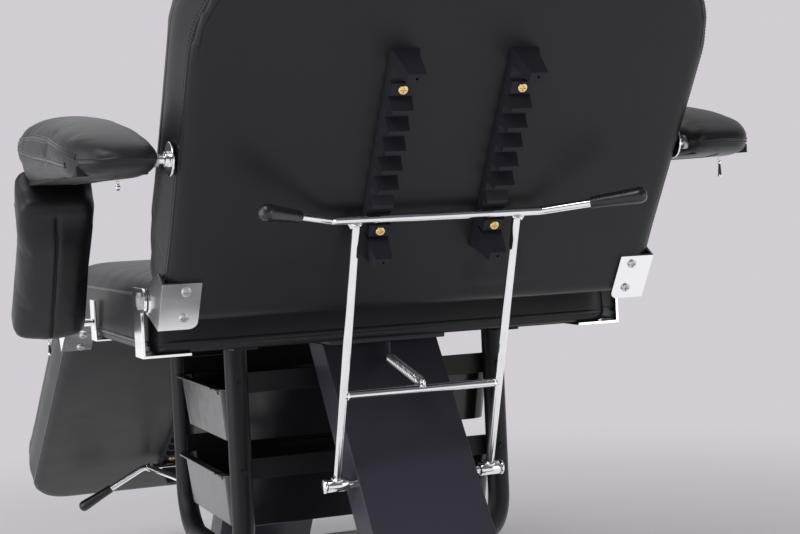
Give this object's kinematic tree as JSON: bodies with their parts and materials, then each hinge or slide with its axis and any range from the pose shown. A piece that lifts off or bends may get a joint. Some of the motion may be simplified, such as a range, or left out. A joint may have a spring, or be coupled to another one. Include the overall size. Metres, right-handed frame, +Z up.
{
  "type": "tattoo chair",
  "caption": "Padded tattoo chair with a reclining back, lifting leg rest, armrests that follow the back, plug-in headrest and sliding trays on a splayed two-post base.",
  "frame": {"origin": "on the floor under the middle of the whole chair's outline", "axes": "+X to the left of a person sitting in the chair, +Y toward the back of the chair, +Z up"},
  "size_m": [0.824, 1.5287, 1.1033],
  "materials": {
    "vinyl": "smooth black upholstery vinyl, satin",
    "chrome": "bright chrome plating",
    "comb": "matte black moulded nylon",
    "column": "slate grey satin powder coat",
    "frame": "matte black powder coat",
    "tray": "glossy black plastic",
    "grip": "polished black plastic",
    "foot": "black rubber",
    "plywood": "unfinished plywood",
    "zinc": "zinc plated",
    "brass_screw": "yellow passivated zinc plate",
    "tube_steel": "bare steel",
    "spring_steel": "nickel plated spring wire"
  },
  "bodies": {
    "root": {"base_spine": "column", "base_cross_feet": "column", "foot_end_caps": "foot", "foot_pads": "foot", "foot_studs": "zinc", "rear_post": "column", "front_post": "column", "post_plates": "column", "seat_frame_rails": "frame", "tray_loop_left": "frame", "tray_loop_right": "frame", "tray_runners_upper": "frame", "tray_runners_lower": "frame", "runner_screws": "frame", "seat_board": "plywood", "seat_cushion": "vinyl", "hinge_straps": "chrome", "hinge_bolts": "zinc", "bar_pivot_pins": "chrome", "arm_seat_brackets": "chrome", "bar_spring": "spring_steel"},
    "backrest": {"back_cushion": "vinyl", "back_board": "plywood", "back_rear_panel": "vinyl", "back_comb_left": "comb", "back_comb_right": "comb", "back_comb_screws": "brass_screw", "back_hinge_plates": "chrome", "back_plate_screws": "zinc", "arm_pins": "chrome", "headrest_sockets": "tube_steel"},
    "headrest": {"headrest_cushion": "vinyl", "headrest_board": "plywood", "headrest_rods": "chrome"},
    "back_bar": {"back_bar_handle": "chrome", "back_bar_legs": "chrome", "back_bar_grips": "grip"},
    "legrest": {"leg_cushion": "vinyl", "leg_board": "plywood", "leg_rear_panel": "vinyl", "leg_comb_left": "comb", "leg_comb_right": "comb", "leg_comb_screws": "brass_screw", "leg_hinge_plates": "chrome", "leg_plate_screws": "zinc"},
    "leg_bar": {"leg_bar_handle": "chrome", "leg_bar_legs": "chrome", "leg_bar_grips": "grip"},
    "armrest_left": {"arm_pad_left": "vinyl", "arm_board_left": "plywood", "arm_fittings_left": "tube_steel"},
    "armrest_right": {"arm_pad_right": "vinyl", "arm_board_right": "plywood", "arm_fittings_right": "tube_steel"},
    "armpost_left": {"arm_post_pad_left": "vinyl", "arm_post_core_left": "tube_steel"},
    "armpost_right": {"arm_post_pad_right": "vinyl", "arm_post_core_right": "tube_steel"},
    "tray_upper": {"upper_tray": "tray"},
    "tray_lower": {"lower_tray": "tray"}
  },
  "joints": [
    {"name": "back_recline", "type": "hinge", "parent": "root", "child": "backrest", "pos_m": [0, 0.37063, 0.534], "axis": [-1, 0, 0], "range_deg": [0, 55.87]},
    {"name": "back_bar_swing", "type": "hinge", "parent": "root", "child": "back_bar", "pos_m": [0, 0.40763, 0.307], "axis": [-1, 0, 0], "range_deg": [0, 42.25], "deforming": ["bar_spring"]},
    {"name": "headrest_slide", "type": "slide", "parent": "backrest", "child": "headrest", "axis": [0, 0.5446, 0.8387], "range_m": [-0.02, 0.06]},
    {"name": "leg_lift", "type": "hinge", "parent": "root", "child": "legrest", "pos_m": [0, -0.20137, 0.486], "axis": [-1, 0, 0], "range_deg": [0, 33]},
    {"name": "leg_bar_swing", "type": "hinge", "parent": "root", "child": "leg_bar", "pos_m": [0, -0.19737, 0.21424], "axis": [-1, 0, 0], "range_deg": [0, 40.13]},
    {"name": "arm_level_left", "type": "hinge", "parent": "backrest", "child": "armrest_left", "pos_m": [0, 0.52089, 0.68825], "axis": [-1, 0, 0], "range_deg": [-55.88, 0]},
    {"name": "arm_post_swing_left", "type": "hinge", "parent": "root", "child": "armpost_left", "pos_m": [0, 0.02963, 0.492], "axis": [-1, 0, 0], "range_deg": [0, 55.88]},
    {"name": "arm_level_right", "type": "hinge", "parent": "backrest", "child": "armrest_right", "pos_m": [0, 0.52089, 0.68825], "axis": [-1, 0, 0], "range_deg": [-55.88, 0]},
    {"name": "arm_post_swing_right", "type": "hinge", "parent": "root", "child": "armpost_right", "pos_m": [0, 0.02963, 0.492], "axis": [-1, 0, 0], "range_deg": [0, 55.88]},
    {"name": "upper_tray_slide", "type": "slide", "parent": "root", "child": "tray_upper", "axis": [1, 0, 0], "range_m": [0, 0.25]},
    {"name": "lower_tray_slide", "type": "slide", "parent": "root", "child": "tray_lower", "axis": [1, 0, 0], "range_m": [0, 0.25]}
  ],
  "couplings": [
    {"joint": "back_bar_swing", "follows": "back_recline", "ratio": 0.756},
    {"joint": "leg_bar_swing", "follows": "leg_lift", "ratio": 1.2159},
    {"joint": "arm_level_left", "follows": "back_recline", "ratio": -1},
    {"joint": "arm_post_swing_left", "follows": "back_recline", "ratio": 1},
    {"joint": "arm_level_right", "follows": "back_recline", "ratio": -1},
    {"joint": "arm_post_swing_right", "follows": "back_recline", "ratio": 1}
  ]
}
